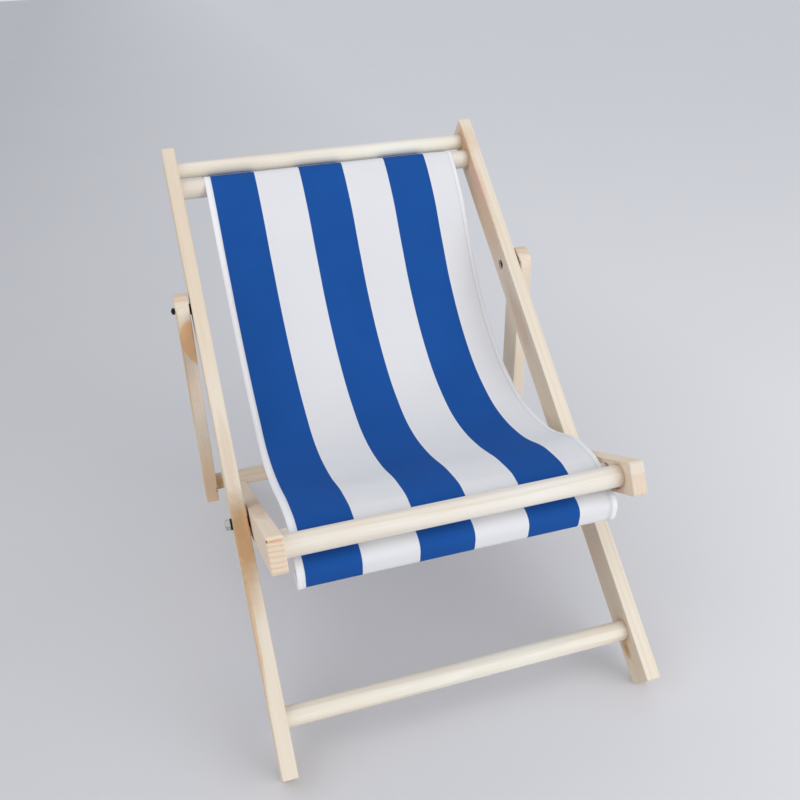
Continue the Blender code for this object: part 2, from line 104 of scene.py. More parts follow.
# share of a stitch's length, share of its radius
STITCH_SHAPE = ((0.0, 0.25), (0.12, 0.8), (0.35, 1.0), (0.65, 1.0), (0.88, 0.8), (1.0, 0.25))
HEM_STITCH_SINK = 0.18 * MM     # the hem's stitches lie in a groove
UNDER_STITCH_SINK = 0.04 * MM   # and underneath they are drawn in a little
SEAM_IN = 3.0 * MM              # the sleeve seams' stitches, in from the sheet's ends
SEAM_MARGIN = 4                 # stitches left out at each side hem

# Camera
CAMERA_AT = (-0.2269, -0.8234, 0.7144)
CAMERA_YAW = radians(-16.17)
CAMERA_DOWN = radians(29.33)
CAMERA_ROLL = radians(-1.99)
CAMERA_LENS = 40.0
CAMERA_SENSOR = 36

# Stage
FLOOR_SIZE = 14
FLOOR_MIDDLE = (0, 2, -0.5 * MM)
ROOM_COLOUR = (0.93, 0.955, 1.0, 1)
ROOM_STRENGTH = 0.77
LIGHT_TARGET = (0, 0, 0.2)
# name, place, size, power, colour
LIGHTS = (("window", (1.3, -1.9, 0.98), (2.0, 1.5), 24.5, (1.0, 0.99, 0.97)),
          ("side", (-1.6, -0.6, 1.6), (1.6, 1.6), 8, (1.0, 0.985, 0.96)))


def back_point(along, across):
    """(y, z) of a point along the back rails and across them, from the rear edge of the foot."""
    return (FOOT_Y + along * cos(BACK_SLOPE) - across * sin(BACK_SLOPE),
            along * sin(BACK_SLOPE) + across * cos(BACK_SLOPE))


def side(y, z):
    """(y, z) in the frame of a place given in millimetres from the foot."""
    return FOOT_Y + y * MM, z * MM


def round_bar(node):
    """Centre (y, z) and radius of a bar or stick that lies along X."""
    low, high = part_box(node)
    return ((low.y + high.y) / 2, (low.z + high.z) / 2), (high.z - low.z) / 2


def arc(centre, radius, start, end, steps):
    """Points on an arc, in degrees, both ends included."""
    turns = [radians(start + (end - start) * i / steps) for i in range(steps + 1)]
    return [(centre[0] + radius * cos(t), centre[1] + radius * sin(t)) for t in turns]


def smooth_path(points, steps=10):
    """A Catmull-Rom curve through points."""
    padded = [points[0]] + points + [points[-1]]
    path = []
    for p0, p1, p2, p3 in zip(padded, padded[1:], padded[2:], padded[3:]):
        for i in range(steps):
            t = i / steps
            weights = (-t ** 3 + 2 * t ** 2 - t, 3 * t ** 3 - 5 * t ** 2 + 2,
                       -3 * t ** 3 + 4 * t ** 2 + t, t ** 3 - t ** 2)
            path.append(tuple(sum(w * p[axis] for w, p in zip(weights, (p0, p1, p2, p3))) / 2
                              for axis in (0, 1)))
    return path + [points[-1]]


def evenly(path, step):
    """The same path with points a step apart, and its length."""
    lengths = [0.0]
    for a, b in zip(path, path[1:]):
        lengths.append(lengths[-1] + hypot(b[0] - a[0], b[1] - a[1]))
    count = round(lengths[-1] / step)
    out, i = [], 0
    for n in range(count + 1):
        target = lengths[-1] * n / count
        while i < len(path) - 2 and lengths[i + 1] < target:
            i += 1
        share = (target - lengths[i]) / max(lengths[i + 1] - lengths[i], 1e-9)
        out.append(tuple(a + (b - a) * share for a, b in zip(path[i], path[i + 1])))
    return out, lengths[-1]


# ---------------------------------------------------------------- the sling's path in side view

def lie_on(node, angles, steps):
    """The middle of the canvas where it lies on a bar or round a stick."""
    centre, radius = round_bar(node)
    return arc(centre, radius + (CLOTH_THICK / 2 + LAY_GAP), *angles, steps)


def sling_path():
    """The middle of the canvas from the top sleeve's seam to the front sleeve's seam."""
    tilt = degrees(BACK_SLOPE)
    around_top = lie_on("top_sleeve_stick", [tilt + a for a in AROUND_TOP_STICK], 26)
    over_bar = lie_on("top_cloth_bar", [tilt + a for a in OVER_CLOTH_BAR], 10)
    over_seat_bar = lie_on("seat_cloth_bar", OVER_SEAT_BAR, 6)
    around_front = lie_on("front_sleeve_stick", AROUND_FRONT_STICK, 16)
    seam = [back_point(along * MM, across * MM) for along, across in TOP_SLEEVE_END]
    neck = [back_point(NECK[0] * MM, NECK[1] * MM)]
    points = seam + around_top + neck + over_bar + [side(*p) for p in SAG] + over_seat_bar
    points += [side(*p) for p in DROP] + around_front + [side(*p) for p in SLEEVE_TOP]
    return evenly(smooth_path(points), PATH_STEP)


PATH, PATH_LENGTH = sling_path()


def path_normals(path):
    """Unit normals (y, z) of a path, pointing to the sitter's side."""
    normals = []
    for i in range(len(path)):
        a, b = path[max(i - 1, 0)], path[min(i + 1, len(path) - 1)]
        dy, dz = b[0] - a[0], b[1] - a[1]
        size = hypot(dy, dz)
        normals.append((dz / size, -dy / size))
    return normals


NORMALS = path_normals(PATH)


def across_from(v, first, last):
    """How far along the sling, between two shares of it, the canvas passes nearest to v."""
    spot = PATH[round(v / PATH_LENGTH * (len(PATH) - 1))]
    nearest = min(range(round(first * len(PATH)), round(last * len(PATH))),
                  key=lambda i: hypot(PATH[i][0] - spot[0], PATH[i][1] - spot[1]))
    return nearest / (len(PATH) - 1) * PATH_LENGTH


# Each sleeve's end is sewn to the canvas that it meets
TOP_SEAM = across_from(SEAM_IN, 0.05, 0.2)
FRONT_SEAM = across_from(PATH_LENGTH - SEAM_IN, 0.8, 0.92)


def ease(share):
    """0 to 1 with a soft start and end."""
    share = max(0.0, min(1.0, share))
    return share * share * (3 - 2 * share)


SWAY_CURVE = smooth_path(EDGE_SWAY)


def edge_x(share):
    """X of the sling's -X edge at a share of its length."""
    for (a, x_a), (b, x_b) in zip(SWAY_CURVE, SWAY_CURVE[1:]):
        if share <= b:
            return (x_a + (x_b - x_a) * (share - a) / (b - a)) * MM
    return SWAY_CURVE[-1][1] * MM


def flare(u, share):
    """How far the +X margin spreads as it goes round the front stick."""
    margin = (u / MM - STRIPE_EDGES[-1]) / (CLOTH_WIDTH / MM - STRIPE_EDGES[-1])
    return FLARE * max(0.0, margin) * ease((share - FLARE_FROM) / (1 - FLARE_FROM) * 2)


def lift(u, share):
    """How far the +X margin stands up from the path."""
    margin = max(0.0, (u - LIFT_FROM) / (CLOTH_WIDTH - LIFT_FROM))
    return LIFT * margin ** LIFT_POWER * ease(1 - abs(share - LIFT_AT) / LIFT_REACH)


def ripple(u, v):
    """How far the canvas stands off its smooth path: slack that a woven cloth never quite loses."""
    broad = noise.noise(Vector((u * 9, v * 7, 1.3))) * RIPPLE
    fine = noise.noise(Vector((u * 30, v * 16, 7.7))) * FINE_RIPPLE
    return broad + fine


def free_share(v):
    """1 where the canvas hangs free, 0 where it lies on a bar or round a stick."""
    from_top = (v - FREE_FROM_TOP) / FREE_FADE
    from_front = (PATH_LENGTH - FREE_FROM_FRONT - v) / FREE_FADE
    return max(0.0, min(1.0, from_top, from_front))


def section():
    """The canvas's cross-section as a closed loop of (u, offset), its hems folded underneath."""
    half = CLOTH_THICK / 2
    under = HEM_THICK - half
    # from the edge inwards: its rounding, the hem with the stitches' groove, then plain canvas
    edge = [(0.0, -0.45 * MM), (0.12 * MM, 0.1 * MM), (0.45 * MM, half * 0.85), (1.1 * MM, half)]
    hem_top = [(2.9 * MM, half + 0.30 * MM), (4.5 * MM, half + 0.10 * MM),
               (STITCH_IN, half - 0.28 * MM), (6.2 * MM, half + 0.05 * MM),
               (HEM_WIDTH, half + 0.12 * MM), (HEM_WIDTH + 1.4 * MM, half)]
    start, end = HEM_WIDTH + HEM_CLEAR, CLOTH_WIDTH - HEM_WIDTH - HEM_CLEAR
    middle = [(start + (end - start) * i / CLOTH_COLUMNS, half) for i in range(CLOTH_COLUMNS + 1)]
    top_left = edge + hem_top
    top = top_left + middle + [(CLOTH_WIDTH - u, h) for u, h in reversed(top_left)]
    # the same underneath, where the hem ends in a step
    low_left = [(0.15 * MM, -1.0 * MM), (0.6 * MM, -under + 0.15 * MM), (1.4 * MM, -under),
                (5.4 * MM, -under + 0.12 * MM), (HEM_WIDTH - 0.5 * MM, -under),
                (HEM_WIDTH + 0.1 * MM, -half - 0.2 * MM), (HEM_WIDTH + 0.6 * MM, -half)]
    low = low_left + [(u, -half) for u, _ in middle]
    low += [(CLOTH_WIDTH - u, h) for u, h in reversed(low_left)]
    return top + list(reversed(low))


def surface_point(u, v_index, offset):
    """A place on the canvas: across u, at a path point, offset along its normal."""
    share = v_index / (len(PATH) - 1)
    v = share * PATH_LENGTH
    y, z = PATH[v_index]
    ny, nz = NORMALS[v_index]
    stand = offset + ripple(u, v) * free_share(v) + lift(u, share)
    return Vector((edge_x(share) + u + flare(u, share), y + ny * stand, z + nz * stand))


def smooth_object(name, shape):
    """A smooth-shaded object in the scene, made of a bmesh."""
    bmesh.ops.recalc_face_normals(shape, faces=shape.faces)
    mesh = bpy.data.meshes.new(name)
    shape.to_mesh(mesh)
    shape.free()
    mesh.shade_smooth()
    item = bpy.data.objects.new(name, mesh)
    bpy.context.scene.collection.objects.link(item)
    return item


def make_sling():
    """The canvas as one closed sheet with folded side hems, mapped in metres of flat cloth."""
    loop = section()
    shape = bmesh.new()
    layer = shape.loops.layers.uv.new("cloth")
    rings = [[shape.verts.new(surface_point(u, j, h)) for u, h in loop] for j in range(len(PATH))]
    step = PATH_LENGTH / (len(PATH) - 1)
    size = len(loop)
    for j in range(len(PATH) - 1):
        for k in range(size):
            n = (k + 1) % size
            face = shape.faces.new((rings[j][k], rings[j][n], rings[j + 1][n], rings[j + 1][k]))
            corners = ((k, j), (n, j), (n, j + 1), (k, j + 1))
            for corner, (kk, jj) in zip(face.loops, corners):
                corner[layer].uv = (loop[kk][0], jj * step)
    for ring, v in ((rings[0], 0.0), (rings[-1][::-1], PATH_LENGTH)):
        face = shape.faces.new(ring)
        for corner in face.loops:
            corner[layer].uv = (corner.vert.co.x - edge_x(v / PATH_LENGTH), v)
    bmesh.ops.triangulate(shape, faces=[f for f in shape.faces if len(f.verts) > 4])
    return smooth_object("sling_canvas", shape)


def add_stitch(shape, start, end):
    """One stitch: a short thread that dips into the cloth at both ends."""
    axis = (end - start).normalized()
    side_way = axis.cross(NO_STITCH_WAY).normalized()
    other = axis.cross(side_way)
    turns = [2 * pi * i / THREAD_SIDES for i in range(THREAD_SIDES)]
    spokes = [side_way * cos(turn) + other * sin(turn) for turn in turns]
    rings = []
    for along, swell in STITCH_SHAPE:
        centre = start.lerp(end, along)
        rings.append([shape.verts.new(centre + THREAD_R * swell * spoke) for spoke in spokes])
    for a, b in zip(rings, rings[1:]):
        for i in range(THREAD_SIDES):
            n = (i + 1) % THREAD_SIDES
            shape.faces.new((a[i], a[n], b[n], b[i]))
    shape.faces.new(rings[0][::-1])
    shape.faces.new(rings[-1])


def stitch_place(u, v, offset):
    """A point on the canvas between path points."""
    exact = v / PATH_LENGTH * (len(PATH) - 1)
    low = min(int(exact), len(PATH) - 2)
    return surface_point(u, low, offset).lerp(surface_point(u, low + 1, offset), exact - low)


def make_stitching():
    """Rows of stitches down both side hems, on both faces, and across the two sleeve seams."""
    shape = bmesh.new()
    top, under = CLOTH_THICK / 2, CLOTH_THICK / 2 - HEM_THICK
    for offset in (top - HEM_STITCH_SINK, under + UNDER_STITCH_SINK):
        for u in (STITCH_IN, CLOTH_WIDTH - STITCH_IN):
            for n in range(1, int(PATH_LENGTH / STITCH_PITCH)):
                v = n * STITCH_PITCH
                add_stitch(shape, stitch_place(u, v, offset),
                           stitch_place(u, v + STITCH_LENGTH, offset))
    for v in (SEAM_IN, TOP_SEAM, FRONT_SEAM, PATH_LENGTH - SEAM_IN):
        for offset in (top, -top):
            for n in range(SEAM_MARGIN, int(CLOTH_WIDTH / STITCH_PITCH) - SEAM_MARGIN + 1):
                u = n * STITCH_PITCH
                add_stitch(shape, stitch_place(u, v, offset),
                           stitch_place(u + STITCH_LENGTH, v, offset))
    return smooth_object("sling_stitching", shape)


# ---------------------------------------------------------------- materials

class Nodes:
    """A small helper that adds nodes to a material and wires them."""

    def __init__(self, name):
        self.material = bpy.data.materials.new(name)
        self.material.use_nodes = True
        self.tree = self.material.node_tree
        self.shader = self.tree.nodes["Principled BSDF"]

    def add(self, kind, inputs=(), **settings):
        """One node, with links or values for its inputs and its own settings."""
        node = self.tree.nodes.new("ShaderNode" + kind)
        for key, value in settings.items():
            setattr(node, key, value)
        for socket, value in dict(inputs).items():
            if isinstance(value, bpy.types.NodeSocket):
                self.tree.links.new(value, node.inputs[socket])
            else:
                node.inputs[socket].default_value = value
        return node

    def ramp(self, factor, stops, interpolation="LINEAR"):
        """A colour ramp's output; stops are (place, colour)."""
        node = self.add("ValToRGB", {"Fac": factor})
        node.color_ramp.interpolation = interpolation
        elements = node.color_ramp.elements
        while len(elements) < len(stops):
            elements.new(0.5)
        for element, (place, colour) in zip(elements, stops):
            element.position = place
            element.color = (*colour, 1) if len(colour) == 3 else colour
        return node.outputs["Color"]

    def math(self, operation, a, b=0.0, clamp=False):
        """A sum of one or two values."""
        return self.add("Math", {0: a, 1: b}, operation=operation, use_clamp=clamp).outputs[0]

    def multiply_add(self, value, factor, offset):
        """A value times a factor, plus an offset."""
        return self.add("Math", {0: value, 1: factor, 2: offset},
                        operation="MULTIPLY_ADD").outputs[0]

    def mix(self, factor, a, b, blend="MIX"):
        """Colour b laid over colour a."""
        node = self.add("Mix", data_type="RGBA", blend_type=blend)
        for socket, value in ((0, factor), (6, a), (7, b)):
            if isinstance(value, bpy.types.NodeSocket):
                self.tree.links.new(value, node.inputs[socket])
            else:
                node.inputs[socket].default_value = value if socket == 0 else (*value, 1)
        return node.outputs[2]

    def bump(self, height, strength, distance):
        """A normal bent by a height."""
        inputs = {"Height": height, "Strength": strength, "Distance": distance}
        return self.add("Bump", inputs).outputs["Normal"]

    def finish(self, colour, roughness, normal=None, **fixed):
        """The finished material; constants go straight on the shader."""
        for socket, value in (("Base Color", colour), ("Roughness", roughness), ("Normal", normal)):
            if isinstance(value, bpy.types.NodeSocket):
                self.tree.links.new(value, self.shader.inputs[socket])
            elif value is not None:
                self.shader.inputs[socket].default_value = value
        for name, value in fixed.items():
            self.shader.inputs[name.replace("_", " ")].default_value = value
        return self.material


# Colours, linear
BLUE = (0.0105, 0.079, 0.318)
WHITE = (0.755, 0.757, 0.78)
# the hems' white, which on the -X hem also carries painted light
HEM_WHITE = (0.88, 0.88, 0.91)
# grey of the painted shade at the hems' fold and stitch groove
HEM_FOLD_SHADE = (0.36, 0.37, 0.40)
PALE = (0.80, 0.72, 0.60)
TAN = (0.92, 0.77, 0.60)
CREAM = (0.80, 0.775, 0.715)    # the dowels
# painted light: a lighter copy of the dowels' cream for the top dowel and the stretcher
LIT_CREAM = (0.87, 0.855, 0.77)
WARM = (0.76, 0.625, 0.475)
LATE = (0.60, 0.43, 0.27)
END_GRAIN = (0.70, 0.56, 0.43)
ORANGE = (0.56, 0.33, 0.15)
AMBER = (0.76, 0.44, 0.20)
PINK = (0.74, 0.44, 0.34)
END_PINK = (0.69, 0.56, 0.465)
END_HIGHLIGHT = (0.70, 0.64, 0.54)
SIDE_TAN = (0.70, 0.50, 0.33)
RED_BROWN = (0.28, 0.115, 0.075)
BROWN = (0.22, 0.115, 0.055)
FLOOR_SHADED = (0.565, 0.565, 0.59)
FLOOR_LIT = (0.76, 0.76, 0.785)
WEAVE_TINT = (0.5, 0.52, 0.56)
THREAD_DARK = (0.66, 0.67, 0.70)
THREAD_LIGHT = (0.82, 0.83, 0.85)
ZINC = ((0.72, 0.72, 0.71), (0.5, 0.5, 0.49), 0.25)        # light, dark, roughness
BLACKENED = ((0.06, 0.052, 0.045), (0.02, 0.017, 0.015), 0.5)

# Canvas
FRAY = 0.5 * MM                 # how far the stripes' edges wander, and how soft they are
STRIPE_BLUR = 0.35 * MM
WARP_PITCH = 0.62 * MM
WEFT_PITCH = 0.68 * MM
# partly the hems' three layers of white cloth, partly painted light on the -X hem, which faces away
# from the main lamp
HEM_WHITENING_AND_LIGHT = (0.90, 0.45)        # how much whiter the -X and +X hems look
# painted shade at the -X hem's fold and in the +X hem's stitch groove: where, its half width and
# its strength
FOLD_SHADE_LINES = ((HEM_WIDTH, 1.0 * MM, 0.10), (CLOTH_WIDTH - STITCH_IN, 1.2 * MM, 0.30))

# Wood
RING_SCALE = 48.0               # growth rings about 6.5 mm apart
SEAT_RING_SCALE = 72.0          # and about 4.4 mm
RING_WANDER = 0.010
# Each rail's offset from the middle of its growth rings, in metres, along X and across the rail
PITHS = {"back_left": (0.15, -0.02), "back_right": (0.23, 0.06), "seat_left": (-0.110, 0.010),
         "seat_right": (0.166, -0.075), "prop_left": (-0.19, 0.05), "prop_right": (0.20, 0.06)}


def grey(value):
    """A neutral colour."""
    return (value, value, value)


def canvas_material():
    """Plain-woven cotton canvas, dyed in stripes, with a slight sheen and uneven threads."""
    n = Nodes("striped_canvas")
    cloth = n.add("UVMap", uv_map="cloth").outputs["UV"]
    split = n.add("SeparateXYZ", {"Vector": cloth})
    across, along = split.outputs[0], split.outputs[1]
    fray = n.add("TexNoise", {"Vector": cloth, "Scale": 2600.0, "Detail": 2.0}).outputs["Fac"]
    uneven = n.math("MULTIPLY", n.math("SUBTRACT", fray, 0.5), FRAY)
    place = n.math("ADD", across, uneven)
    stripes = None
    for number, edge in enumerate(STRIPE_EDGES):
        past = n.math("MULTIPLY", n.math("SUBTRACT", place, edge * MM), 1 / STRIPE_BLUR, clamp=True)
        sign = "ADD" if number % 2 == 0 else "SUBTRACT"
        stripes = past if stripes is None else n.math(sign, stripes, past)
    patchy = n.add("TexNoise", {"Vector": cloth, "Scale": 14.0, "Detail": 3.0}).outputs["Fac"]
    blue = n.mix(patchy, tuple(c * 0.9 for c in BLUE), tuple(c * 1.12 for c in BLUE))
    white = n.mix(patchy, tuple(c * 0.97 for c in WHITE), tuple(min(c * 1.02, 1) for c in WHITE))
    colour = n.mix(stripes, white, blue)
    # hems of three layers are whiter, plus painted light on the -X hem; painted shade draws grey
    # fold lines
    for from_edge, strength in zip((across, n.math("SUBTRACT", CLOTH_WIDTH, across)), HEM_WHITENING_AND_LIGHT):
        in_hem = n.math("DIVIDE", from_edge, HEM_WIDTH)
        hem_white_and_light = n.ramp(in_hem, [(0.8, grey(strength)), (0.98, grey(0))])
        colour = n.mix(hem_white_and_light, colour, HEM_WHITE)
    for fold, width, strength in FOLD_SHADE_LINES:
        off = n.math("ABSOLUTE", n.math("SUBTRACT", across, fold))
        fold_shade = n.ramp(n.math("DIVIDE", off, width), [(0.3, grey(strength)), (1.0, grey(0))])
        colour = n.mix(fold_shade, colour, HEM_FOLD_SHADE)
    stretched = n.add("Mapping", {"Vector": cloth, "Scale": (900, 60, 1)}).outputs[0]
    thread = n.add("TexNoise", {"Vector": stretched, "Scale": 1.0, "Detail": 2.0}).outputs["Fac"]
    colour = n.mix(n.math("MULTIPLY", thread, 0.10), colour, WEAVE_TINT, "SOFT_LIGHT")
    warp = n.math("SINE", n.math("MULTIPLY", across, 2 * pi / WARP_PITCH))
    weft = n.math("SINE", n.math("MULTIPLY", along, 2 * pi / WEFT_PITCH))
    weave = n.math("MULTIPLY", warp, weft)
    grain = n.math("ADD", weave, n.math("MULTIPLY", thread, 1.2))
    normal = n.bump(grain, 0.35, 0.12 * MM)
    return n.finish(colour, 0.92, normal, Specular_IOR_Level=0.12)


def thread_material():
    """White sewing thread with a little twist."""
    n = Nodes("white_thread")
    place = n.add("TexCoord").outputs["Object"]
    twist = n.add("TexNoise", {"Vector": place, "Scale": 1800.0, "Detail": 1.0}).outputs["Fac"]
    colour = n.mix(twist, THREAD_DARK, THREAD_LIGHT)
    return n.finish(colour, 0.7, n.bump(twist, 0.3, 0.1 * MM), Sheen_Weight=0.2)


def in_stock(n, slope, origin, across_x):
    """Places in a rail's own (x, along, across), or in a dowel's (forward, x, up), in metres."""
    place = n.add("TexCoord").outputs["Object"]
    shift = n.add("VectorMath", {0: place, 1: (0, *origin)}, operation="SUBTRACT").outputs[0]
    turn = (0, 0, pi / 2) if across_x else (-slope, 0, 0)
    return n.add("Mapping", {"Vector": shift, "Rotation": turn}).outputs[0]


def late_wood_in(n, local, moved, pith, ring_scale):
    """Where the dark late wood lies: in growth rings that wander slowly along the stock."""
    slow = n.add("Mapping", {"Vector": local, "Scale": (20, 3.0, 20), "Location": (*pith, 0)})
    wander = n.add("TexNoise", {"Vector": slow.outputs[0], "Scale": 1.0, "Detail": 2.0})
    offset = n.add("VectorMath", {0: wander.outputs["Color"], 1: (0.5, 0.5, 0.5)},
                   operation="SUBTRACT").outputs[0]
    bent = n.add("VectorMath", {0: offset, "Scale": RING_WANDER}, operation="SCALE").outputs[0]
    place = n.add("VectorMath", {0: moved, 1: bent}, operation="ADD").outputs[0]
    rings = n.add("TexWave", {"Vector": place, "Scale": ring_scale, "Distortion": 0.5,
                              "Detail": 2.0, "Detail Scale": 0.6}, wave_type="RINGS",
                  rings_direction="Y", wave_profile="SAW").outputs["Fac"]
    return n.ramp(rings, [(0.0, grey(0.15)), (0.5, grey(0.05)), (0.88, grey(1)),
                          (1.0, grey(0.2))], "EASE")


def streaks(n, moved, scale, detail):
    """Noise drawn out along the grain."""
    drawn = n.add("Mapping", {"Vector": moved, "Scale": scale}).outputs[0]
    return n.add("TexNoise", {"Vector": drawn, "Scale": 1.0, "Detail": detail}).outputs["Fac"]


def with_mark(n, colour, local, ragged, blot):
    """The colour with one blot from mark() laid over it."""
    centre, radii, blot_colour, strength, rough_edge, core, slant = blot
    away = n.add("VectorMath", {0: local, 1: centre}, operation="SUBTRACT").outputs[0]
    if slant:
        sideways_by = n.add("SeparateXYZ", {"Vector": away}).outputs[0]
        shift_by = n.add("CombineXYZ", {"Y": n.math("MULTIPLY", sideways_by, slant)}).outputs[0]
        away = n.add("VectorMath", {0: away, 1: shift_by}, operation="SUBTRACT").outputs[0]
    squeezed = n.add("VectorMath", {0: away, 1: tuple(1 / r for r in radii)},
                     operation="MULTIPLY").outputs[0]
    distance = n.add("VectorMath", {0: squeezed}, operation="LENGTH").outputs["Value"]
    wobble = n.math("MULTIPLY", n.math("SUBTRACT", ragged, 0.5), rough_edge)
    near = n.math("ADD", distance, wobble)
    mask = n.ramp(near, [(core, grey(strength)), (1.0, grey(0))], "EASE")
    return n.mix(mask, colour, blot_colour)


def wood_material(name, slope, origin, pith, pale, side_shade, marks, across_x=False,
                  ring_scale=RING_SCALE):
    """Pale sanded pine whose grain runs along a rail, or along X for a dowel.

    The side shade argument is how much warmer the faces that look along X are: painted shade. Marks
    come from mark().
    """
    n = Nodes(name)
    local = in_stock(n, slope, origin, across_x)
    moved = n.add("VectorMath", {0: local, 1: (pith[0], 0, pith[1])}, operation="ADD").outputs[0]
    late_wood = late_wood_in(n, local, moved, pith, ring_scale)
    fibre = streaks(n, moved, (800, 10, 800), 3.0)
    cloud = streaks(n, moved, (22, 4.5, 22), 2.0)
    normal = n.add("TexCoord").outputs["Normal"]
    sideways = n.math("ABSOLUTE", n.add("SeparateXYZ", {"Vector": normal}).outputs[0])
    # painted shade: the faces that look along X are made warmer, standing in for their shade
    side_shade_mask = n.math("MULTIPLY", n.ramp(sideways, [(0.45, grey(0)), (0.9, grey(1))]), side_shade)
    spread = n.math("MULTIPLY", n.ramp(cloud, [(0.36, grey(0)), (0.72, grey(1))]), 0.55)
    fibres = (1, 0, 0) if across_x else (0, cos(slope), sin(slope))
    facing = n.add("VectorMath", {0: normal, 1: fibres}, operation="DOT_PRODUCT").outputs["Value"]
    ends = n.ramp(n.math("ABSOLUTE", facing), [(0.6, grey(0)), (0.9, grey(1))])
    base = n.mix(n.math("MAXIMUM", side_shade_mask, spread), pale, WARM)
    base = n.mix(n.math("MULTIPLY", ends, 0.7), base, END_GRAIN)
    # the rings show more on the end grain
    contrast = n.math("ADD", n.math("MULTIPLY", ends, 0.45), 0.22)
    colour = n.mix(n.math("MULTIPLY", late_wood, contrast), base, LATE)
    streak = n.ramp(fibre, [(0.33, grey(0.88)), (0.6, grey(1))])
    colour = n.mix(0.5, colour, streak, "MULTIPLY")
    ragged = n.add("TexNoise", {"Vector": local, "Scale": 160.0, "Detail": 2.0}).outputs["Fac"]
    for blot in marks:
        colour = with_mark(n, colour, local, ragged, blot)
    height = n.math("ADD", n.math("MULTIPLY", fibre, 0.6), n.math("MULTIPLY", late_wood, 0.4))
    rough = n.multiply_add(fibre, 0.18, 0.5)
    return n.finish(colour, rough, n.bump(height, 0.25, 0.15 * MM), Specular_IOR_Level=0.35)


def metal_material(name, light, dark, roughness):
    """Plated steel with fine turning marks and a little dullness."""
    n = Nodes(name)
    place = n.add("TexCoord").outputs["Object"]
    fine = n.add("TexNoise", {"Vector": place, "Scale": 900.0, "Detail": 3.0}).outputs["Fac"]
    colour = n.mix(fine, dark, light)
    rough = n.multiply_add(fine, 0.2, roughness)
    return n.finish(colour, rough, n.bump(fine, 0.15, 0.05 * MM), Metallic=1.0)


def floor_material():
    """A plain painted floor, with painted shade that darkens it a little towards -X, away from the
    main lamp.
    """
    n = Nodes("pale_floor")
    place = n.add("TexCoord").outputs["Object"]
    cloud = n.add("TexNoise", {"Vector": place, "Scale": 3.0, "Detail": 3.0}).outputs["Fac"]
    away = n.add("SeparateXYZ", {"Vector": place}).outputs[0]
    # painted shade: the floor darkens towards -X
    shade = n.ramp(n.multiply_add(away, 0.5, 0.5), [(0.15, FLOOR_SHADED), (0.85, FLOOR_LIT)])
    colour = n.mix(n.math("MULTIPLY", cloud, 0.08), shade, grey(1.0))
    return n.finish(colour, 0.6, None, Specular_IOR_Level=0.3)


def dress(node, material):
    """Give a CAD node its finished material."""
    item = frame["nodes"][node]
    item.data.materials.clear()
    item.data.materials.append(material)


def mark(centre, radii, colour, strength, ragged=0.4, core=0.45, slant=0.0):
    """One blot for wood_material, placed and sized in millimetres.

    Ragged is how uneven its edge is, core the share of the radius where it starts to fade, and
    slant how far it leans along the rail per metre of x.
    """
    return (tuple(c * MM for c in centre), tuple(r * MM for r in radii), colour, strength, ragged,
            core, slant)


